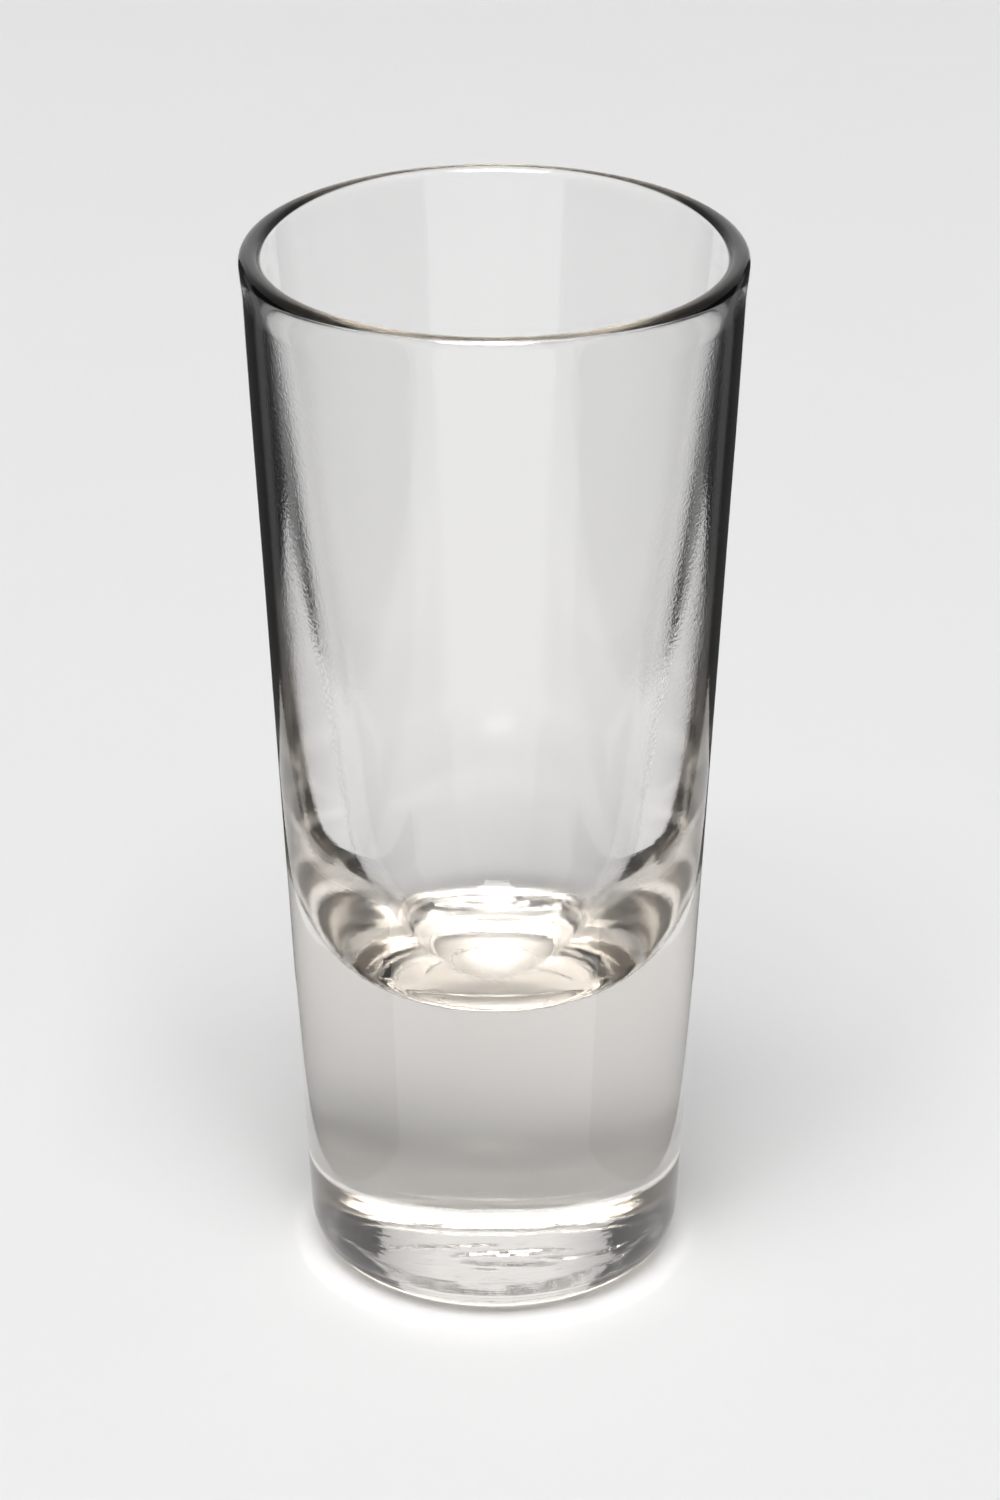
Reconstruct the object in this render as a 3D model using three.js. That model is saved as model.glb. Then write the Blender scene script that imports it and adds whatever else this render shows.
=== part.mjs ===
// Tequila glass: a tall tapered shooter pressed from one gob of clear glass.
// Millimetres, +Z up. The glass stands on Z = 0 and is turned about the Z axis.
import * as THREE from "three";

// Overall
const HEIGHT = 106;
const RIM_RADIUS = 24; // widest point of the bead

// Lip and bead
const LIP_WIDTH = 2.1; // glass thickness across the fire-polished lip
const LIP_RISE = 1.05; // height of the lip's round above its widest point
const BEAD_DROP = 3.4; // from the widest point down to the end of the straight wall
const BEAD_PROUD = 0.3; // how far the bead stands out from the end of the wall

// Outside wall, heel and foot
const BASE_RADIUS = 18.6; // where the wall meets the heel
const HEEL_WIDTH = 2.8;
const HEEL_HEIGHT = 4.2;
const FOOT_WIDTH = 3.2; // flat ring that the glass stands on
const PUNT_DEPTH = 0.5; // hollow inside the foot
const PUNT_EDGE = 1.2; // width of the slope from the foot up to the hollow

// Cavity
const FLOOR_THICKNESS = 30.2; // glass under the lowest point of the cavity
const CAP_RADIUS = 19.8; // shallow cap that the plunger's tip leaves on the floor
const CAP_END = THREE.MathUtils.degToRad(22.5); // slope of the floor where the cap ends
const BEND_RADIUS = 6.5; // tight bend around the cap
const BEND_END = THREE.MathUtils.degToRad(64); // slope where the bend ends
const SIDE_RADIUS = 48.3; // slow curve from the bend up to the wall
const WALL_RADIUS = 1960; // very slight curve of the wall up to the lip

// Facets
const TURN_SEGMENTS = 72;
const CURVE_STEPS = 5;

// A point at a given angle on a circle, angles counted from +X.
function onCircle(centre, radius, angle) {
  return new THREE.Vector2(
    centre.x + radius * Math.cos(angle),
    centre.y + radius * Math.sin(angle),
  );
}

// The angle at which a circle touches, from inside, a larger one that passes through an outside point.
function touchAngle(centre, radius, outerRadius, point) {
  const away = point.clone().sub(centre);
  const distance = away.length();
  const between = outerRadius - radius;
  const along = (outerRadius ** 2 - between ** 2 - distance ** 2) / (2 * between);
  return away.angle() - Math.acos(along / distance);
}

// Underside, foot, heel and wall, from the axis out and up to the end of the straight wall.
function drawOutside(outline) {
  const footOuter = BASE_RADIUS - HEEL_WIDTH;
  const footInner = footOuter - FOOT_WIDTH;
  const slopeMiddle = footInner - PUNT_EDGE / 2;
  outline.moveTo(0, PUNT_DEPTH);
  outline.lineTo(footInner - PUNT_EDGE, PUNT_DEPTH);
  outline.bezierCurveTo(slopeMiddle, PUNT_DEPTH, slopeMiddle, 0, footInner, 0);
  outline.lineTo(footOuter, 0);
  outline.absellipse(footOuter, HEEL_HEIGHT, HEEL_WIDTH, HEEL_HEIGHT, -Math.PI / 2, 0);
  outline.lineTo(RIM_RADIUS - BEAD_PROUD, HEIGHT - LIP_RISE - BEAD_DROP);
}

// The bead swells out of the wall, and the lip is half an ellipse over the glass's thickness.
function drawLip(outline) {
  const lipHeight = HEIGHT - LIP_RISE;
  const wallEnd = lipHeight - BEAD_DROP;
  const wallSlope = (RIM_RADIUS - BEAD_PROUD - BASE_RADIUS) / (wallEnd - HEEL_HEIGHT);
  const handle = BEAD_DROP / 3;
  outline.bezierCurveTo(
    RIM_RADIUS - BEAD_PROUD + wallSlope * handle,
    wallEnd + handle,
    RIM_RADIUS,
    lipHeight - handle,
    RIM_RADIUS,
    lipHeight,
  );
  outline.absellipse(RIM_RADIUS - LIP_WIDTH / 2, lipHeight, LIP_WIDTH / 2, LIP_RISE, 0, Math.PI);
}

// The cavity: wall, side, bend and cap are arcs with no corner between them, from the lip to the axis.
function drawCavity(outline) {
  const lipInside = new THREE.Vector2(RIM_RADIUS - LIP_WIDTH, HEIGHT - LIP_RISE);
  const bottom = -Math.PI / 2;
  const capEdge = bottom + CAP_END;
  const bendEdge = bottom + BEND_END;
  const capCentre = new THREE.Vector2(0, FLOOR_THICKNESS + CAP_RADIUS);
  const bendCentre = onCircle(capCentre, CAP_RADIUS - BEND_RADIUS, capEdge);
  const sideCentre = onCircle(bendCentre, BEND_RADIUS - SIDE_RADIUS, bendEdge);
  const wallFoot = touchAngle(sideCentre, SIDE_RADIUS, WALL_RADIUS, lipInside);
  const wallCentre = onCircle(sideCentre, SIDE_RADIUS - WALL_RADIUS, wallFoot);
  const wallTop = lipInside.clone().sub(wallCentre).angle();
  outline.absarc(wallCentre.x, wallCentre.y, WALL_RADIUS, wallTop, wallFoot, true);
  outline.absarc(sideCentre.x, sideCentre.y, SIDE_RADIUS, wallFoot, bendEdge, true);
  outline.absarc(bendCentre.x, bendCentre.y, BEND_RADIUS, bendEdge, capEdge, true);
  outline.absarc(capCentre.x, capCentre.y, CAP_RADIUS, capEdge, bottom, true);
}

function glassGeometry() {
  const outline = new THREE.Path();
  drawOutside(outline);
  drawLip(outline);
  drawCavity(outline);
  const points = outline.getPoints(CURVE_STEPS);
  return new THREE.LatheGeometry(points, TURN_SEGMENTS).rotateX(Math.PI / 2);
}

const clearGlass = new THREE.MeshStandardMaterial({
  color: 0xdfe1dd,
  roughness: 0.05,
  metalness: 0,
  transparent: true,
  opacity: 0.35,
});

const glass = new THREE.Mesh(glassGeometry(), clearGlass);
glass.name = "glass";

const tequilaGlass = new THREE.Group();
tequilaGlass.add(glass);

export default tequilaGlass;
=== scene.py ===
"""Tequila glass: the dressed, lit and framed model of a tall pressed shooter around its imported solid."""
import logging
import math
from dataclasses import dataclass, field
from enum import Enum

import bpy
import numpy as np
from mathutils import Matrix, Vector
from numpy.typing import NDArray


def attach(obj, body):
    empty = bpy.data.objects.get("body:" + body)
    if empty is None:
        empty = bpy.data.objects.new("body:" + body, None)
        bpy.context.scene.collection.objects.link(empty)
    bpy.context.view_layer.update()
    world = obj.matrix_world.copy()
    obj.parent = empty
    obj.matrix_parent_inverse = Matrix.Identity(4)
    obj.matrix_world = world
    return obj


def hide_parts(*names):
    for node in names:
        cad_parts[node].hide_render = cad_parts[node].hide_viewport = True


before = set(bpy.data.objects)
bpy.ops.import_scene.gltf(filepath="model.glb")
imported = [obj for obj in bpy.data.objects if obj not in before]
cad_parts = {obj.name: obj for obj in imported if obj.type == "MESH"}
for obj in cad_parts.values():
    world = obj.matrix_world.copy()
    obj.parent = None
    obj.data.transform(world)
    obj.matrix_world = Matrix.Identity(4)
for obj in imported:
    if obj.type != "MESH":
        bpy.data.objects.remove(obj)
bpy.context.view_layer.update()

LOG = logging.getLogger("tequila_glass")
MM = 0.001
PHOTO_WIDTH = 1000
PHOTO_HEIGHT = 1500
HALF_TURN = 180.0  # degrees
SEAM_RADIUS = 9.55  # millimetres, of the ring on the underside
TINY_RADIUS = 0.001  # millimetres, keeps the axis out of a division

# Places of the sockets of a Mix node that mixes colours.
MIX_SHARE, MIX_FIRST, MIX_SECOND, MIX_RESULT = 0, 6, 7, 2

Array = NDArray[np.float64]
Pair = tuple[float, float]
Stops = tuple[Pair, ...]
Colour = tuple[float, float, float]
Rgba = tuple[float, float, float, float]
Socket = bpy.types.NodeSocket
Level = float | Socket
Inputs = dict[str | int, object]


class Zone(Enum):
    """Stretches of the glass's half outline, in the order in which the outline runs."""

    UNDERSIDE = "underside"
    FOOT = "foot"
    HEEL = "heel"
    OUTSIDE = "outside"
    BEAD = "bead"
    LIP = "lip"
    INSIDE = "inside"
    SIDE = "side"
    BEND = "bend"
    CAP = "cap"


class Mark(Enum):
    """Point attributes that carry the strength of the mould's marks to the finish."""

    GRAIN = "mould_grain"
    PEEL = "orange_peel"
    SEAM = "seam_bristles"


class Ray(Enum):
    """Light Path outputs that the studio's surroundings tell apart."""

    SCATTERED = "Diffuse Depth"
    MIRRORED = "Glossy Depth"
    REFRACTED = "Transmission Depth"


class Side(Enum):
    """Which side of the glass a flag stands on, seen from the camera."""

    LEFT = -1.0
    RIGHT = 1.0


def grey_colour(level: float) -> Rgba:
    """A grey level as a colour with full alpha."""
    return (level, level, level, 1.0)


class Nodes:
    """A node tree with short calls to add and join nodes."""

    def __init__(self, tree: bpy.types.NodeTree) -> None:
        """Empties the tree."""
        self.tree = tree
        tree.nodes.clear()

    def add(self, kind: str, inputs: Inputs | None = None, **settings: object) -> bpy.types.Node:
        """Adds a node.

        Args:
            kind: Blender's name for the kind of node.
            inputs: value or output socket for each named or numbered input.
            settings: the node's own properties.

        Returns:
            The new node.
        """
        node = self.tree.nodes.new(kind)
        for name, value in settings.items():
            setattr(node, name, value)
        for name, value in (inputs or {}).items():
            if isinstance(value, Socket):
                self.tree.links.new(value, node.inputs[name])
            else:
                node.inputs[name].default_value = value
        return node

    def math(self, operation: str, *values: Level, **settings: object) -> Socket:
        """Adds a Math node on numbers or sockets and returns its output."""
        node = self.add("ShaderNodeMath", dict(enumerate(values)), operation=operation, **settings)
        return node.outputs[0]

    def ray_is(self, ray: Ray) -> Socket:
        """One for light paths on which that has happened at least once, and zero for others."""
        at_least_once = 0.5
        return self.math("GREATER_THAN", self.add("ShaderNodeLightPath").outputs[ray.value], at_least_once)

    def ramp(self, factor: Socket, stops: Stops) -> Socket:
        """Adds a grey colour ramp.

        Args:
            factor: socket that runs along the ramp.
            stops: position and grey level of each stop, at least two.

        Returns:
            The ramp's colour output.
        """
        node = self.add("ShaderNodeValToRGB", {0: factor})
        elements = node.color_ramp.elements
        for _ in stops[2:]:
            elements.new(1.0)
        for element, (position, level) in zip(elements, stops):
            element.position = position
            element.color = grey_colour(level)
        return node.outputs[0]

    def mix(self, share: Socket, first: Level, second: Level) -> Socket:
        """Mixes two greys.

        Args:
            share: zero for the first grey and one for the second.
            first: a level or a colour socket.
            second: a level or a colour socket.

        Returns:
            The mixed colour.
        """
        pair = [grey_colour(level) if isinstance(level, float) else level for level in (first, second)]
        inputs = {MIX_SHARE: share, MIX_FIRST: pair[0], MIX_SECOND: pair[1]}
        return self.add("ShaderNodeMix", inputs, data_type="RGBA").outputs[MIX_RESULT]


def new_material(name: str) -> tuple[bpy.types.Material, Nodes]:
    """Makes a material.

    Args:
        name: the material's name.

    Returns:
        The material and its emptied node tree.
    """
    made = bpy.data.materials.new(name)
    made.use_nodes = True
    return made, Nodes(made.node_tree)


def link_object(name: str, data: bpy.types.ID) -> bpy.types.Object:
    """Makes an object and adds it to the scene.

    Args:
        name: the object's name.
        data: its mesh, lamp or camera.

    Returns:
        The new object, at the origin.
    """
    made = bpy.data.objects.new(name, data)
    bpy.context.scene.collection.objects.link(made)
    return made


def grid_quads(rows: int, columns: int, closed: bool) -> NDArray[np.int64]:
    """Corners of the quads of a grid whose points are numbered along each row in turn.

    Args:
        rows: number of rows of points.
        columns: number of points in a row.
        closed: whether the last row joins the first.

    Returns:
        One line of four point numbers for each quad.
    """
    row = np.arange(rows if closed else rows - 1)[:, None]
    column = np.arange(columns - 1)[None, :]
    here = row * columns + column
    there = (row + 1) % rows * columns + column
    return np.stack((here, there, there + 1, here + 1), axis=-1).reshape(-1, 4)


def studio_sheet(name: str, points: Array, rows: int, finish: bpy.types.Material) -> bpy.types.Object:
    """Makes a sheet of the studio from a grid of points.

    Args:
        name: name of the sheet and of its mesh.
        points: one line of X, Y and Z for each point, row by row.
        rows: number of rows of points.
        finish: the sheet's material.

    Returns:
        The sheet.
    """
    mesh = bpy.data.meshes.new(name)
    quads = grid_quads(rows, len(points) // rows, closed=False)
    mesh.from_pydata(points.tolist(), [], quads.tolist())
    mesh.materials.append(finish)
    sheet = link_object(name, mesh)
    return sheet


def show_only_to_glass(sheet: bpy.types.Object) -> None:
    """Hides a sheet of the studio from the camera, from matt surfaces and from shadows.

    Args:
        sheet: what only mirrored and refracted rays may meet.
    """
    sheet.visible_camera = False
    sheet.visible_diffuse = False
    sheet.visible_shadow = False


@dataclass(frozen=True)
class OutlineSteps:
    """Longest distance between two points on each stretch of the outline, in millimetres.

    The last two are the fewest steps on an arc and on a free curve.
    """

    underside: float = 0.14
    hollow: float = 0.12
    foot: float = 0.4
    heel: float = 0.15
    outside: float = 1.2
    bead: float = 0.4
    lip: float = 0.15
    inside: float = 1.2
    side: float = 0.7
    bend: float = 0.2
    cap: float = 0.3
    fewest_on_arc: int = 2
    fewest_on_curve: int = 4


@dataclass(frozen=True)
class GlassOutline:
    """Half outline of the glass in millimetres, radius against height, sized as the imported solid."""

    height: float = 106.0
    rim_radius: float = 24.0
    lip_width: float = 2.1
    lip_rise: float = 1.05
    bead_drop: float = 3.4
    bead_proud: float = 0.3
    base_radius: float = 18.6
    heel_width: float = 2.8
    heel_height: float = 4.2
    foot_width: float = 3.2
    punt_depth: float = 0.5
    punt_edge: float = 1.2
    floor_thickness: float = 30.2
    cap_radius: float = 19.8
    cap_end: float = math.radians(22.5)
    bend_radius: float = 6.5
    bend_end: float = math.radians(64.0)
    side_radius: float = 48.3
    wall_radius: float = 1960.0
    steps: OutlineSteps = OutlineSteps()

    @property
    def foot_outer(self) -> float:
        """Outer radius of the flat ring that the glass stands on."""
        return self.base_radius - self.heel_width

    @property
    def foot_inner(self) -> float:
        """Inner radius of that ring, where the slope of the hollow starts."""
        return self.foot_outer - self.foot_width

    @property
    def lip_height(self) -> float:
        """Height of the lip's widest point."""
        return self.height - self.lip_rise

    @staticmethod
    def line(start: Pair, end: Pair, step: float) -> Array:
        """Points from start to end, no further apart than step."""
        count = max(1, math.ceil(math.dist(start, end) / step))
        return np.linspace(start, end, count + 1)

    def arc(self, centre: Array, radii: Pair, angles: Pair, step: float) -> Array:
        """Points on an ellipse: centre plus the radii times the cosine and sine of the angle.

        Args:
            centre: middle of the ellipse.
            radii: half axes across and up.
            angles: first and last angle, counted from outwards.
            step: longest distance between two points.

        Returns:
            One line of radius and height for each point.
        """
        length = max(radii) * abs(angles[1] - angles[0])
        count = max(self.steps.fewest_on_arc, math.ceil(length / step))
        turn = np.linspace(*angles, count + 1)[:, None]
        return centre + np.array(radii) * np.hstack((np.cos(turn), np.sin(turn)))

    def bezier(self, points: tuple[Pair, ...], step: float) -> Array:
        """Points on a cubic curve: its four control points weighted by the Bernstein polynomials.

        Args:
            points: radius and height of the control points.
            step: longest distance between two points, measured on the straight line between the ends.

        Returns:
            One line of radius and height for each point.
        """
        corner = np.array(points)
        count = max(self.steps.fewest_on_curve, math.ceil(math.dist(points[0], points[3]) / step))
        t = np.linspace(0.0, 1.0, count + 1)[:, None]
        start, end = (1 - t) ** 3 * corner[0], t**3 * corner[3]
        return start + 3 * (1 - t) ** 2 * t * corner[1] + 3 * (1 - t) * t**2 * corner[2] + end

    def outside(self) -> list[tuple[Zone, Array]]:
        """Underside, foot, heel, wall and bead, from the axis out and up to the lip.

        Returns:
            Zone and points of each stretch.
        """
        wall_end = self.lip_height - self.bead_drop
        wall_top = self.rim_radius - self.bead_proud
        slope = (wall_top - self.base_radius) / (wall_end - self.heel_height)
        handle = self.bead_drop / 3
        punt_end = self.foot_inner - self.punt_edge
        middle = self.foot_inner - self.punt_edge / 2
        hollow = (
            (punt_end, self.punt_depth),
            (middle, self.punt_depth),
            (middle, 0.0),
            (self.foot_inner, 0.0),
        )
        bead = (
            (wall_top, wall_end),
            (wall_top + slope * handle, wall_end + handle),
            (self.rim_radius, self.lip_height - handle),
            (self.rim_radius, self.lip_height),
        )
        foot_ends = (self.foot_inner, 0.0), (self.foot_outer, 0.0)
        heel_centre = np.array((self.foot_outer, self.heel_height))
        heel_radii = (self.heel_width, self.heel_height)
        steps = self.steps
        return [
            (Zone.UNDERSIDE, self.line((0.0, self.punt_depth), hollow[0], steps.underside)),
            (Zone.UNDERSIDE, self.bezier(hollow, steps.hollow)),
            (Zone.FOOT, self.line(*foot_ends, steps.foot)),
            (Zone.HEEL, self.arc(heel_centre, heel_radii, (-math.pi / 2, 0.0), steps.heel)),
            (Zone.OUTSIDE, self.line((self.base_radius, self.heel_height), bead[0], steps.outside)),
            (Zone.BEAD, self.bezier(bead, steps.bead)),
        ]

    def cavity(self) -> list[tuple[Zone, Array]]:
        """Lip, wall, side, bend and cap: arcs with no corner between them, from the rim to the axis.

        Returns:
            Zone and points of each stretch.
        """
        lip_inside = np.array((self.rim_radius - self.lip_width, self.lip_height))
        lip_centre = lip_inside + (self.lip_width / 2, 0.0)
        lip_radii = (self.lip_width / 2, self.lip_rise)
        bottom = -math.pi / 2
        cap_edge, bend_edge = bottom + self.cap_end, bottom + self.bend_end
        cap_centre = np.array((0.0, self.floor_thickness + self.cap_radius))
        bend_centre = self.on_circle(cap_centre, self.cap_radius - self.bend_radius, cap_edge)
        side_centre = self.on_circle(bend_centre, self.bend_radius - self.side_radius, bend_edge)
        wall_foot = self.touch_angle(side_centre, lip_inside)
        wall_centre = self.on_circle(side_centre, self.side_radius - self.wall_radius, wall_foot)
        wall_top = math.atan2(*(lip_inside - wall_centre)[::-1])
        steps = self.steps

        def round_arc(centre: Array, radius: float, angles: Pair, step: float) -> Array:
            """Points on a circle."""
            return self.arc(centre, (radius, radius), angles, step)

        return [
            (Zone.LIP, self.arc(lip_centre, lip_radii, (0.0, math.pi), steps.lip)),
            (Zone.INSIDE, round_arc(wall_centre, self.wall_radius, (wall_top, wall_foot), steps.inside)),
            (Zone.SIDE, round_arc(side_centre, self.side_radius, (wall_foot, bend_edge), steps.side)),
            (Zone.BEND, round_arc(bend_centre, self.bend_radius, (bend_edge, cap_edge), steps.bend)),
            (Zone.CAP, round_arc(cap_centre, self.cap_radius, (cap_edge, bottom), steps.cap)),
        ]

    @staticmethod
    def on_circle(centre: Array, radius: float, angle: float) -> Array:
        """The point at an angle on a circle."""
        return centre + radius * np.array((math.cos(angle), math.sin(angle)))

    def touch_angle(self, centre: Array, point: Array) -> float:
        """The angle at which the side's circle touches the wall's, which passes through a point.

        Args:
            centre: middle of the side's circle.
            point: inside edge of the lip, on the wall's circle.

        Returns:
            The angle on both circles, from the law of cosines on their centres and the point.
        """
        away = point - centre
        distance = math.hypot(*away)
        between = self.wall_radius - self.side_radius
        along = (self.wall_radius**2 - between**2 - distance**2) / (2 * between)
        return math.atan2(away[1], away[0]) - math.acos(along / distance)

    def points(self) -> tuple[Array, list[Zone]]:
        """The whole outline from the underside's centre to the cavity's.

        Returns:
            One line of radius and height for each point, and the zone of each point.
        """
        stretches = self.outside() + self.cavity()
        kept = [(zone, points if i == 0 else points[1:]) for i, (zone, points) in enumerate(stretches)]
        zones = [zone for zone, points in kept for _ in range(len(points))]
        return np.vstack([points for _, points in kept]), zones


@dataclass(frozen=True)
class Crease:
    """A fold that the cooling glass left on the underside: a low ridge along a slightly bent line, in mm.

    It runs along X from start to end. Offset, tilt and bow place its line in Y.
    """

    start: float
    end: float
    offset: float
    tilt: float
    bow: float
    width: float
    rise: float
    fade: float = 1.5

    def relief(self, x: Array, y: Array, wobble: Array) -> Array:
        """Height of the ridge: a bell across the bent line, faded out at its two ends.

        Args:
            x: places along the crease.
            y: places across the crease.
            wobble: sideways shift of the line at each place.

        Returns:
            The ridge's height at each place.
        """
        line = self.offset + self.tilt * x + self.bow * x**2 + wobble
        bell = np.exp(-(((y - line) / self.width) ** 2))
        from_start = np.clip((x - self.start) / self.fade, 0.0, 1.0)
        to_end = np.clip((self.end - x) / self.fade, 0.0, 1.0)
        return self.rise * bell * from_start * to_end


@dataclass(frozen=True)
class Ripples:
    """Uneven swelling of a pressed surface, in mm: plane waves with seeded directions and phases."""

    shortest: float
    longest: float
    rise: float
    seed: int
    waves: int = 24

    def relief(self, x: Array, y: Array) -> Array:
        """Sum of the waves' cosines, scaled so that the usual swell has the given rise.

        Args:
            x: places across the surface.
            y: places along the surface.

        Returns:
            The swell at each place.
        """
        draw = np.random.default_rng(self.seed)
        length = draw.uniform(self.shortest, self.longest, self.waves)
        heading = draw.uniform(0.0, 2 * math.pi, self.waves)
        phase = draw.uniform(0.0, 2 * math.pi, self.waves)
        along = np.multiply.outer(x, np.cos(heading)) + np.multiply.outer(y, np.sin(heading))
        total = np.cos(along * (2 * math.pi / length) + phase).sum(axis=-1)
        return self.rise * total / math.sqrt(self.waves / 2)


@dataclass(frozen=True)
class SeamRing:
    """Rough step that the mould's bottom plate left around the middle of the underside, in mm."""

    radius: float = SEAM_RADIUS
    width: float = 0.3
    drop: float = 0.09
    reach: float = 0.45
    right_share: float = 0.45
    wander: Ripples = Ripples(1.5, 7.0, 0.2, 21)

    def away(self, x: Array, y: Array) -> Array:
        """Distance outwards from the wandering line of the ring: the radius less that of the line.

        Args:
            x: places on the underside, to the right.
            y: places on the underside, to the back.

        Returns:
            The distance at each place, negative inside the ring.
        """
        radius = np.hypot(x, y)
        round_x, round_y = (self.radius * part / np.maximum(radius, TINY_RADIUS) for part in (x, y))
        return radius - self.radius - self.wander.relief(round_x, round_y)

    def relief(self, x: Array, y: Array) -> Array:
        """Offset below the middle, downwards positive: a soft step outwards across the line."""
        return self.drop * (1 + np.tanh(self.away(x, y) / self.width)) / 2

    def roughness(self, x: Array, y: Array) -> Array:
        """Strength of the ring's bristles: a bell across the line, stronger on the right."""
        right = 1 + self.right_share * x / self.radius
        return right * np.exp(-((self.away(x, y) / self.reach) ** 2))


@dataclass(frozen=True)
class PartingLine:
    """Fine groove around the heel, where the mould's bottom plate met its wall, in mm."""

    height: float = 2.2
    width: float = 0.22
    depth: float = 0.035

    def relief(self, height: Array) -> Array:
        """Depth of the groove: a bell across its height."""
        return self.depth * np.exp(-(((height - self.height) / self.width) ** 2))


@dataclass(frozen=True)
class PressedGlass:
    """Finish of clear pressed glass: polished, with the marks that the mould left.

    The marks are turning marks, a fine grain, orange peel on the upper wall and the seam's bristles.
    Their sizes are in mm, and the tint's density is per metre.
    """

    name: str = "clear_pressed_glass"
    ior: float = 1.52
    tint: Colour = (0.87, 0.832, 0.78)
    tint_density: float = 20.0
    mark_pitch: float = 0.2
    mark_length: float = 16.0
    mark_depth: float = 0.003
    grain_size: float = 0.35
    grain_depth: float = 0.003
    peel_depth: float = 0.008
    bristle_pitch: float = 0.4
    bristle_length: float = 0.7
    bristle_depth: float = 0.05
    haze: float = 0.02

    def material(self) -> bpy.types.Material:
        """Builds refracting glass with a bump and a roughness that follow the mould's marks.

        The bump's height is the sum of each pattern times its mark's strength and depth.

        Returns:
            The material.
        """
        made, nodes = new_material(self.name)
        place = nodes.add("ShaderNodeTexCoord").outputs["Object"]
        flat, steep = 1 / (self.mark_length * MM), 1 / (self.mark_pitch * MM)
        stretched = nodes.add("ShaderNodeMapping", {"Vector": place, "Scale": (flat, flat, steep)})
        marks = self.noise(nodes, stretched.outputs[0], 1.0)
        grain = self.noise(nodes, place, 1 / (self.grain_size * MM))
        bristles = self.noise(nodes, self.around_seam(nodes, place), 1.0)
        layers = (
            (marks, Mark.GRAIN, self.mark_depth),
            (grain, Mark.GRAIN, self.grain_depth),
            (grain, Mark.PEEL, self.peel_depth),
            (bristles, Mark.SEAM, self.bristle_depth),
        )
        height = 0.0
        for pattern, mark, depth in layers:
            deep = nodes.math("MULTIPLY", self.strength(nodes, mark), depth * MM)
            height = nodes.math("MULTIPLY_ADD", pattern, deep, height)
        bump = nodes.add("ShaderNodeBump", {"Height": height, "Strength": 1.0, "Distance": 1.0})
        grainy = nodes.math("MULTIPLY", grain, self.strength(nodes, Mark.GRAIN))
        glass = nodes.add(
            "ShaderNodeBsdfPrincipled",
            {
                "Base Color": grey_colour(1.0),
                "Roughness": nodes.math("MULTIPLY", grainy, self.haze),
                "IOR": self.ior,
                "Transmission Weight": 1.0,
                "Normal": bump.outputs[0],
            },
        )
        absorbing = {"Color": (*self.tint, 1.0), "Density": self.tint_density}
        body = nodes.add("ShaderNodeVolumeAbsorption", absorbing)
        nodes.add("ShaderNodeOutputMaterial", {"Surface": glass.outputs[0], "Volume": body.outputs[0]})
        return made

    @staticmethod
    def strength(nodes: Nodes, mark: Mark) -> Socket:
        """The strength of a mark at the shaded place."""
        return nodes.add("ShaderNodeAttribute", attribute_name=mark.value).outputs["Fac"]

    @staticmethod
    def noise(nodes: Nodes, place: Socket, scale: float) -> Socket:
        """A soft noise of two finer layers over the first."""
        inputs = {"Vector": place, "Scale": scale, "Detail": 2.0, "Roughness": 0.5}
        return nodes.add("ShaderNodeTexNoise", inputs).outputs["Fac"]

    def around_seam(self, nodes: Nodes, place: Socket) -> Socket:
        """Place on the seam's ring, counted in bristles: angle times radius, and distance from the centre.

        Args:
            nodes: the material's nodes.
            place: Object coordinates.

        Returns:
            A vector of the two counts.
        """
        part = nodes.add("ShaderNodeSeparateXYZ", {0: place}).outputs
        angle = nodes.math("ARCTAN2", part["Y"], part["X"])
        outwards = nodes.add("ShaderNodeVectorMath", {0: place}, operation="LENGTH").outputs["Value"]
        along = nodes.math("MULTIPLY", angle, SEAM_RADIUS / self.bristle_pitch)
        across = nodes.math("MULTIPLY", outwards, 1 / (self.bristle_length * MM))
        return nodes.add("ShaderNodeCombineXYZ", {"X": along, "Y": across}).outputs[0]


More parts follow.
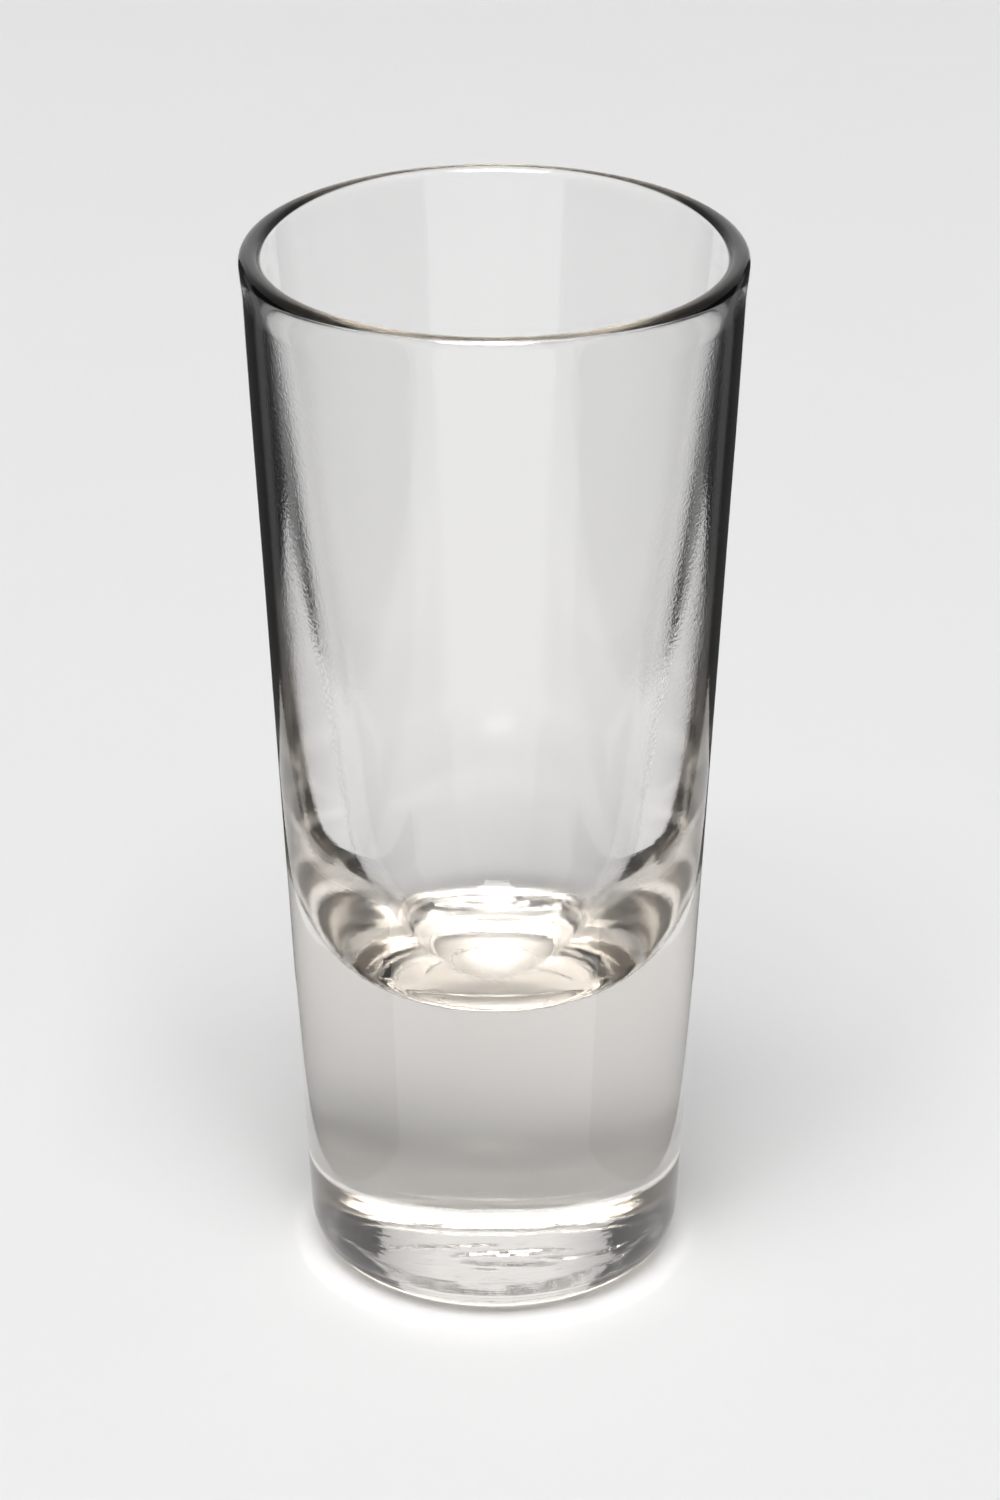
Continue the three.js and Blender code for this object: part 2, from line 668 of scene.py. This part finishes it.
@dataclass
class TequilaGlass:
    """The glass itself: its outline turned about the axis, with the small unevenness of pressing, in mm."""

    outline: GlassOutline = field(default_factory=GlassOutline)
    finish: PressedGlass = field(default_factory=PressedGlass)
    turns: int = 256
    underside_swell: Ripples = Ripples(2.5, 9.0, 0.004, 11)
    underside_grain: Ripples = Ripples(0.6, 1.8, 0.002, 12)
    floor_swell: Ripples = Ripples(3.0, 10.0, 0.001, 13)
    floor_swell_fade: Pair = (6.0, 18.0)
    wall_swell: Ripples = Ripples(12.0, 40.0, 0.008, 14)
    wall_sink: float = 0.016
    crease_wobble: Ripples = Ripples(1.0, 5.0, 0.12, 15)
    seam: SeamRing = SeamRing()
    parting: PartingLine = PartingLine()
    peel_heights: Pair = (52.0, 70.0)
    grain_blend: int = 9
    creases: tuple[Crease, ...] = (
        Crease(-7.8, 0.2, 5.17, 0.21, -0.063, 0.34, 0.14),
        Crease(-2.8, 4.6, 2.72, 0.51, -0.149, 0.42, 0.18),
        Crease(-1.6, 4.0, 1.6, 0.45, -0.14, 0.32, 0.11),
        Crease(2.4, 8.6, 1.76, -0.9, 0.095, 0.38, 0.16),
        Crease(-1.8, 0.8, -3.3, 0.06, 0.0, 0.32, 0.1),
        Crease(-2.5, 4.5, -1.7, -0.22, 0.0, 0.9, 0.11),
    )

    @staticmethod
    def places(radius: Array, angle: Array) -> tuple[Array, Array]:
        """X and Y of each outline point at each turn step: its radius times the cosine and the sine."""
        return np.multiply.outer(np.cos(angle), radius), np.multiply.outer(np.sin(angle), radius)

    @staticmethod
    def zone_columns(zones: list[Zone], *wanted: Zone) -> NDArray[np.bool_]:
        """Marks the outline points that lie in the wanted zones."""
        return np.array([zone in wanted for zone in zones])

    def relief(self, radius: Array, height: Array, angle: Array, zones: list[Zone]) -> Array:
        """How far each point stands off the smooth outline, outwards positive.

        The underside carries swells, fine ripples, creases and the seam's ring, which fade as it comes
        down to the foot. The heel has the parting line. The cavity's floor carries a swell that fades up
        its side. The walls are slightly wavy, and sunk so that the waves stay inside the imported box.

        Args:
            radius: radius of each outline point.
            height: height of each outline point.
            angle: angle of each turn step.
            zones: zone of each outline point.

        Returns:
            The offset for each turn step and outline point.
        """
        x, y = self.places(radius, angle)
        offset = np.zeros_like(x)
        under = self.zone_columns(zones, Zone.UNDERSIDE)
        place = x[:, under], y[:, under]
        wobble = self.crease_wobble.relief(*place)
        folds = sum(fold.relief(*place, wobble) for fold in self.creases)
        swell = self.underside_swell.relief(*place) + self.underside_grain.relief(*place)
        room = height[under] / self.outline.punt_depth
        offset[:, under] = room * (swell + folds + self.seam.relief(*place))
        heel = self.zone_columns(zones, Zone.HEEL)
        offset[:, heel] = -self.parting.relief(height[heel])
        floor = self.zone_columns(zones, Zone.CAP, Zone.BEND, Zone.SIDE)
        climb = height[floor] - self.outline.floor_thickness
        fade = np.interp(climb, self.floor_swell_fade, (1.0, 0.0))
        offset[:, floor] = fade * self.floor_swell.relief(x[:, floor], y[:, floor])
        for zone in (Zone.OUTSIDE, Zone.INSIDE):
            wall = self.zone_columns(zones, zone)
            ends = np.sin(np.linspace(0.0, math.pi, wall.sum()))
            wave = self.wall_swell.relief(x[:, wall], height[wall] + y[:, wall])
            offset[:, wall] = ends * (wave - self.wall_sink)
        return offset

    def grain_strength(self, zones: list[Zone]) -> Array:
        """Strength of the mould's grain: a level for each zone, averaged over neighbouring points.

        Args:
            zones: zone of each outline point.

        Returns:
            The strength at each outline point.
        """
        level = {
            Zone.UNDERSIDE: 0.1,
            Zone.FOOT: 0.5,
            Zone.HEEL: 1.5,
            Zone.OUTSIDE: 1.0,
            Zone.BEAD: 0.2,
            Zone.LIP: 0.0,
            Zone.INSIDE: 0.05,
            Zone.SIDE: 0.05,
            Zone.BEND: 0.5,
            Zone.CAP: 0.02,
        }
        steps = np.array([level[zone] for zone in zones])
        window = np.ones(self.grain_blend) / self.grain_blend
        return np.convolve(np.pad(steps, self.grain_blend // 2, mode="edge"), window, mode="valid")

    def marks(self, points: Array, angle: Array, zones: list[Zone]) -> dict[Mark, Array]:
        """Strength of the mould's marks, where the orange peel grows with the height of the outside wall.

        Args:
            points: radius and height of each outline point.
            angle: angle of each turn step.
            zones: zone of each outline point.

        Returns:
            For each mark, the strength for each turn step and outline point.
        """
        x, y = self.places(points[:, 0], angle)
        under = self.zone_columns(zones, Zone.UNDERSIDE)
        seam = np.zeros_like(x)
        seam[:, under] = self.seam.roughness(x[:, under], y[:, under])
        climb = np.interp(points[:, 1], self.peel_heights, (0.0, 1.0))
        peel = climb * self.zone_columns(zones, Zone.OUTSIDE)
        return {
            Mark.GRAIN: np.tile(self.grain_strength(zones), (self.turns, 1)),
            Mark.PEEL: np.tile(peel, (self.turns, 1)),
            Mark.SEAM: seam,
        }

    def faces(self, columns: int) -> list[list[int]]:
        """Corners of the faces: quads around the turn, and a fan of triangles at each end of the axis.

        Args:
            columns: number of outline points without the two on the axis, which are numbered last.

        Returns:
            The point numbers of each face, which points outwards.
        """
        first = np.arange(self.turns) * columns
        following = np.roll(first, -1)
        last = columns - 1
        below = np.full_like(first, self.turns * columns)
        above = below + 1
        under_fan = np.stack((below, following, first), axis=1)
        floor_fan = np.stack((above, first + last, following + last), axis=1)
        quads = grid_quads(self.turns, columns, closed=True)
        return quads.tolist() + under_fan.tolist() + floor_fan.tolist()

    def mesh(self) -> bpy.types.Mesh:
        """Turns the outline about Z: a grid of turn step and outline point, moved along its normal.

        Returns:
            The closed mesh, with one point at each end of the axis and the marks' strengths as attributes.
        """
        points, zones = self.outline.points()
        tangent = np.gradient(points, axis=0)
        normal = np.stack((tangent[:, 1], -tangent[:, 0]), axis=1)
        normal /= np.linalg.norm(normal, axis=1, keepdims=True)
        angle = np.linspace(0.0, 2 * math.pi, self.turns, endpoint=False)
        offset = self.relief(points[:, 0], points[:, 1], angle, zones)
        radius = (points[:, 0] + offset * normal[:, 0])[:, 1:-1]
        height = (points[:, 1] + offset * normal[:, 1])[:, 1:-1]
        x, y = radius * np.cos(angle)[:, None], radius * np.sin(angle)[:, None]
        grid = np.stack((x, y, height), axis=-1)
        poles = np.zeros((2, 3))
        poles[:, 2] = points[(0, -1), 1] + offset[0, (0, -1)] * normal[(0, -1), 1]
        vertices = np.vstack((grid.reshape(-1, 3), poles)) * MM
        made = bpy.data.meshes.new("tequila_glass")
        made.from_pydata(vertices.tolist(), [], self.faces(grid.shape[1]))
        made.shade_smooth()
        for mark, level in self.marks(points, angle, zones).items():
            layer = made.attributes.new(mark.value, "FLOAT", "POINT")
            values = np.concatenate((level[:, 1:-1].ravel(), level[0, (0, -1)]))
            layer.data.foreach_set("value", values.astype(np.float32))
        made.validate()
        return made

    def build(self) -> bpy.types.Object:
        """Makes the glass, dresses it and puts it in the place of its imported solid.

        Returns:
            The glass, at the origin.
        """
        made = link_object("tequila_glass", self.mesh())
        made.data.materials.append(self.finish.material())
        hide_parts("glass")
        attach(made, "root")
        return made


@dataclass(frozen=True)
class PhotoCamera:
    """The camera at the photograph's viewing angle, in pixels of the photograph and metres."""

    focal_pixels: float = 5284.4
    pitch: float = math.radians(26.05)
    distance: float = 0.5173
    look_height: float = 0.0531
    axis_column: float = 494.3
    look_row_shift: float = 5.82
    sensor: float = 36.0  # millimetres
    nearest: float = 0.01

    def place(self) -> bpy.types.Object:
        """Adds the camera, which looks along +Y and down at a point on the glass's axis.

        Returns:
            The scene's camera.
        """
        lens = bpy.data.cameras.new("camera")
        lens.sensor_fit = "VERTICAL"
        lens.sensor_height = self.sensor
        lens.lens = self.focal_pixels * self.sensor / PHOTO_HEIGHT
        lens.shift_x = (PHOTO_WIDTH / 2 - self.axis_column) / PHOTO_HEIGHT
        lens.shift_y = self.look_row_shift / PHOTO_HEIGHT
        lens.clip_start = self.nearest
        made = link_object("camera", lens)
        back, up = math.cos(self.pitch), math.sin(self.pitch)
        made.location = (0.0, -self.distance * back, self.look_height + self.distance * up)
        made.rotation_euler = (math.pi / 2 - self.pitch, 0.0, 0.0)
        bpy.context.scene.camera = made
        return made


@dataclass(frozen=True)
class PaleFloor:
    """A wide pale board that the glass stands on, a hair below the foot, in metres."""

    half_width: float = 3.0
    gap: float = 0.0002
    grey: float = 0.84
    mottle: float = 0.01
    mottle_scale: float = 30.0
    mottle_detail: float = 3.0
    roughness: float = 0.8
    specular: float = 0.2
    steps: int = 13

    def build(self) -> bpy.types.Object:
        """Makes the board: a flat grid in X and Y.

        Returns:
            The board.
        """
        span = np.linspace(-self.half_width, self.half_width, self.steps)
        x, y = np.meshgrid(span, span, indexing="ij")
        points = np.stack((x, y, np.full_like(x, -self.gap)), axis=-1).reshape(-1, 3)
        return studio_sheet("floor", points, self.steps, self.material())

    def material(self) -> bpy.types.Material:
        """Builds matt pale paint with a faint mottle.

        Returns:
            The material.
        """
        made, nodes = new_material("pale_board")
        place = nodes.add("ShaderNodeTexCoord").outputs["Object"]
        inputs = {"Vector": place, "Scale": self.mottle_scale, "Detail": self.mottle_detail}
        noise = nodes.add("ShaderNodeTexNoise", inputs).outputs["Fac"]
        tone = nodes.mix(noise, self.grey * (1 - self.mottle), self.grey * (1 + self.mottle))
        paint = nodes.add(
            "ShaderNodeBsdfPrincipled",
            {"Base Color": tone, "Roughness": self.roughness, "Specular IOR Level": self.specular},
        )
        nodes.add("ShaderNodeOutputMaterial", {"Surface": paint.outputs[0]})
        return made


@dataclass(frozen=True)
class DarkFlag:
    """A bent dark card beside the glass that only mirrored rays see, for the dark edges of clear glass.

    Lengths are in metres. A shade is a place along Y and the cloth's grey level there.
    """

    side: Side
    kind: str = "flag"
    distance: float = 0.09
    front: float = -0.12
    back: float = 0.1
    inner: float = 0.035
    height: float = 0.12
    inner_height: float = 0.045
    shades: Stops = ((0.05, 0.04), (0.058, 0.24), (0.075, 0.24), (0.09, 0.06))
    steps_along: int = 13
    steps_up: int = 4

    @classmethod
    def low(cls, side: Side) -> "DarkFlag":
        """A low card close beside the thick base: painted shade for the base's dark edges, in place of the
        deeper shadow on the floor just behind the foot.
        """
        # Painted shade: mirrored rays in the base meet this dark card instead of the shadowed floor behind
        # the foot.
        return cls(
            side,
            kind="low_shade_card",
            distance=0.032,
            front=-0.03,
            back=0.05,
            inner=0.028,
            height=0.028,
            inner_height=0.028,
            shades=((0.0, 0.05),),
        )

    def build(self) -> bpy.types.Object:
        """Makes the card: an upright grid that runs back along Y and then turns in behind the glass.

        Returns:
            The card.
        """
        corners = (0.0, 1.0, 2.0)
        along = np.linspace(corners[0], corners[-1], self.steps_along)
        x = self.side.value * np.interp(along, corners, (self.distance, self.distance, self.inner))
        y = np.interp(along, corners, (self.front, self.back, self.back))
        top = np.interp(along, corners, (self.height, self.height, self.inner_height))
        z = np.multiply.outer(top, np.linspace(0.0, 1.0, self.steps_up))
        points = np.stack((np.repeat(x, self.steps_up), np.repeat(y, self.steps_up), z.ravel()), axis=-1)
        name = f"{self.kind}_{self.side.name.lower()}"
        card = studio_sheet(name, points, self.steps_along, self.material(name))
        show_only_to_glass(card)
        return card

    def material(self, name: str) -> bpy.types.Material:
        """Builds dark cloth for rays that a surface has mirrored, and nothing for all others.

        Args:
            name: the material's name.

        Returns:
            The material.
        """
        made, nodes = new_material(name)
        clear = nodes.add("ShaderNodeBsdfTransparent").outputs[0]
        cloth = nodes.add("ShaderNodeEmission", {"Color": self.shade(nodes)}).outputs[0]
        mixed = nodes.add("ShaderNodeMixShader", {0: nodes.ray_is(Ray.MIRRORED), 1: clear, 2: cloth})
        nodes.add("ShaderNodeOutputMaterial", {"Surface": mixed.outputs[0]})
        return made

    def shade(self, nodes: Nodes) -> Socket | Rgba:
        """The cloth's grey: one level all over, or a ramp along Y where there are more shades.

        Args:
            nodes: the material's nodes.

        Returns:
            A colour or the ramp's socket.
        """
        if len(self.shades) == 1:
            return grey_colour(self.shades[0][1])
        place = nodes.add("ShaderNodeTexCoord").outputs["Object"]
        y = nodes.add("ShaderNodeSeparateXYZ", {0: place}).outputs["Y"]
        stops = tuple((at / self.back, level) for at, level in self.shades)
        return nodes.ramp(nodes.math("DIVIDE", y, self.back), stops)


@dataclass(frozen=True)
class SoftBox:
    """The large lamp above and in front of the glass, a little to its left, in metres and watts.

    A lamp lights the matt floor, and a glowing panel in the same place is what the glass shows and
    gathers on the floor. What the glass mirrors on the floor is held back to a share, because it would
    burn out there.
    """

    location: tuple[float, float, float] = (-0.13, -1.15, 2.94)
    target: tuple[float, float, float] = (0.0, 0.0, 0.05)
    width: float = 1.6
    length: float = 1.6
    power: float = 91.0
    mirrored: float = 0.25
    steps: int = 3

    def build(self) -> bpy.types.Object:
        """Adds the lamp and its panel, turned to their target.

        Returns:
            The lamp.
        """
        lamp = bpy.data.lights.new("soft_box", "AREA")
        lamp.shape = "RECTANGLE"
        lamp.size = self.width
        lamp.size_y = self.length
        lamp.energy = self.power
        made = link_object("soft_box", lamp)
        aim = Vector(self.target) - Vector(self.location)
        made.location = self.location
        made.rotation_euler = aim.to_track_quat("-Z", "Y").to_euler()
        made.visible_glossy = False
        made.visible_transmission = False
        bpy.context.view_layer.update()
        self.panel(np.array(made.matrix_world))
        return made

    def panel(self, turn: Array) -> bpy.types.Object:
        """Adds the panel: a flat grid in the lamp's own plane, carried to the lamp's place.

        Args:
            turn: the lamp's four by four matrix.

        Returns:
            The panel.
        """
        span = np.linspace(-0.5, 0.5, self.steps)
        x, y = np.meshgrid(self.width * span, self.length * span, indexing="ij")
        flat = np.stack((x, y, np.zeros_like(x)), axis=-1).reshape(-1, 3)
        points = flat @ turn[:3, :3].T + turn[:3, 3]
        made = studio_sheet("soft_box_panel", points, self.steps, self.glow())
        show_only_to_glass(made)
        return made

    def glow(self) -> bpy.types.Material:
        """Builds light of the lamp's own brightness, held back where the glass mirrors it onto the floor.

        Returns:
            The material.
        """
        made, nodes = new_material("soft_box_panel")
        made.cycles.emission_sampling = "NONE"
        brightness = self.power / (math.pi * self.width * self.length)
        thrown = nodes.math("MULTIPLY", nodes.ray_is(Ray.SCATTERED), nodes.ray_is(Ray.MIRRORED))
        outside = nodes.math("SUBTRACT", thrown, nodes.ray_is(Ray.REFRACTED), use_clamp=True)
        lost = nodes.math("MULTIPLY", outside, brightness * (self.mirrored - 1))
        light = nodes.add("ShaderNodeEmission", {"Strength": nodes.math("ADD", lost, brightness)})
        nodes.add("ShaderNodeOutputMaterial", {"Surface": light.outputs[0]})
        return made


@dataclass(frozen=True)
class StudioRoom:
    """Surroundings: an even fill for matt surfaces, a pale background, and a room for mirrored rays.

    The room's stops are azimuths from the back wall in degrees, each with a grey level.
    """

    fill: float = 0.2
    background: float = 0.84
    around: Stops = (
        (0.0, 0.9),
        (14.0, 0.9),
        (26.0, 0.64),
        (38.0, 0.36),
        (60.0, 0.22),
        (100.0, 0.4),
        (180.0, 0.45),
    )
    above: Stops = ((0.0, 0.12), (90.0, 0.2), (180.0, 0.3))
    turn_up: Pair = (34.0, 44.0)
    ceiling: float = 1.0
    ceiling_up: Pair = (54.0, 62.0)

    def build(self) -> bpy.types.World:
        """Builds the world: the level by azimuth from the back wall, blended to the ceiling's overhead.

        Returns:
            The scene's world.
        """
        made = bpy.data.worlds.new("studio")
        made.use_nodes = True
        nodes = Nodes(made.node_tree)
        way = nodes.add("ShaderNodeTexCoord").outputs["Generated"]
        part = nodes.add("ShaderNodeSeparateXYZ", {0: way}).outputs
        azimuth = nodes.math("ABSOLUTE", nodes.math("ARCTAN2", part["X"], part["Y"]))
        turn = nodes.math("DIVIDE", azimuth, math.pi)
        walls, dim = (nodes.ramp(turn, self.half_turns(stops)) for stops in (self.around, self.above))
        low = nodes.mix(self.rise(nodes, part["Z"], self.turn_up), walls, dim)
        seen = nodes.mix(self.rise(nodes, part["Z"], self.ceiling_up), low, self.ceiling)
        straight = nodes.mix(nodes.ray_is(Ray.MIRRORED), self.background, seen)
        level = nodes.mix(nodes.ray_is(Ray.SCATTERED), straight, self.fill)
        light = nodes.add("ShaderNodeBackground", {"Color": level, "Strength": 1.0})
        nodes.add("ShaderNodeOutputWorld", {"Surface": light.outputs[0]})
        bpy.context.scene.world = made
        return made

    @staticmethod
    def half_turns(stops: Stops) -> Stops:
        """The stops with their azimuths as shares of half a turn."""
        return tuple((degrees / HALF_TURN, level) for degrees, level in stops)

    @staticmethod
    def rise(nodes: Nodes, height: Socket, between: Pair) -> Socket:
        """Share from zero to one as the direction climbs between two elevations.

        Args:
            nodes: the world's nodes.
            height: the direction's Z, which is the sine of its elevation.
            between: the two elevations in degrees.

        Returns:
            The share.
        """
        low, high = (math.sin(math.radians(angle)) for angle in between)
        limits = {"Value": height, "From Min": low, "From Max": high}
        return nodes.add("ShaderNodeMapRange", limits).outputs[0]


@dataclass(frozen=True)
class LightPaths:
    """How far Cycles follows light through the glass."""

    bounces: int = 18
    blur: float = 0.0

    def apply(self) -> None:
        """Sets the plain view transform and the bounce limits, and keeps light gathered by the glass."""
        scene = bpy.context.scene
        scene.view_settings.view_transform = "Standard"
        cycles = scene.cycles
        cycles.max_bounces = self.bounces
        cycles.glossy_bounces = self.bounces
        cycles.transmission_bounces = self.bounces
        cycles.transparent_max_bounces = self.bounces
        cycles.caustics_refractive = True
        cycles.caustics_reflective = True
        cycles.blur_glossy = self.blur


def main() -> None:
    """Builds the camera, the glass and the studio in order."""
    logging.basicConfig(level=logging.INFO, format="%(name)s: %(message)s")
    PhotoCamera().place()
    glass = TequilaGlass().build()
    LOG.info("%s has %d faces", glass.name, len(glass.data.polygons))
    # DarkFlag.low adds the two low cards of painted shade beside the base.
    flags = [make(side) for make in (DarkFlag, DarkFlag.low) for side in Side]
    for thing in (PaleFloor(), *flags, SoftBox(), StudioRoom()):
        LOG.info("built %s", thing.build().name)
    LightPaths().apply()


if __name__ == "__main__":
    main()
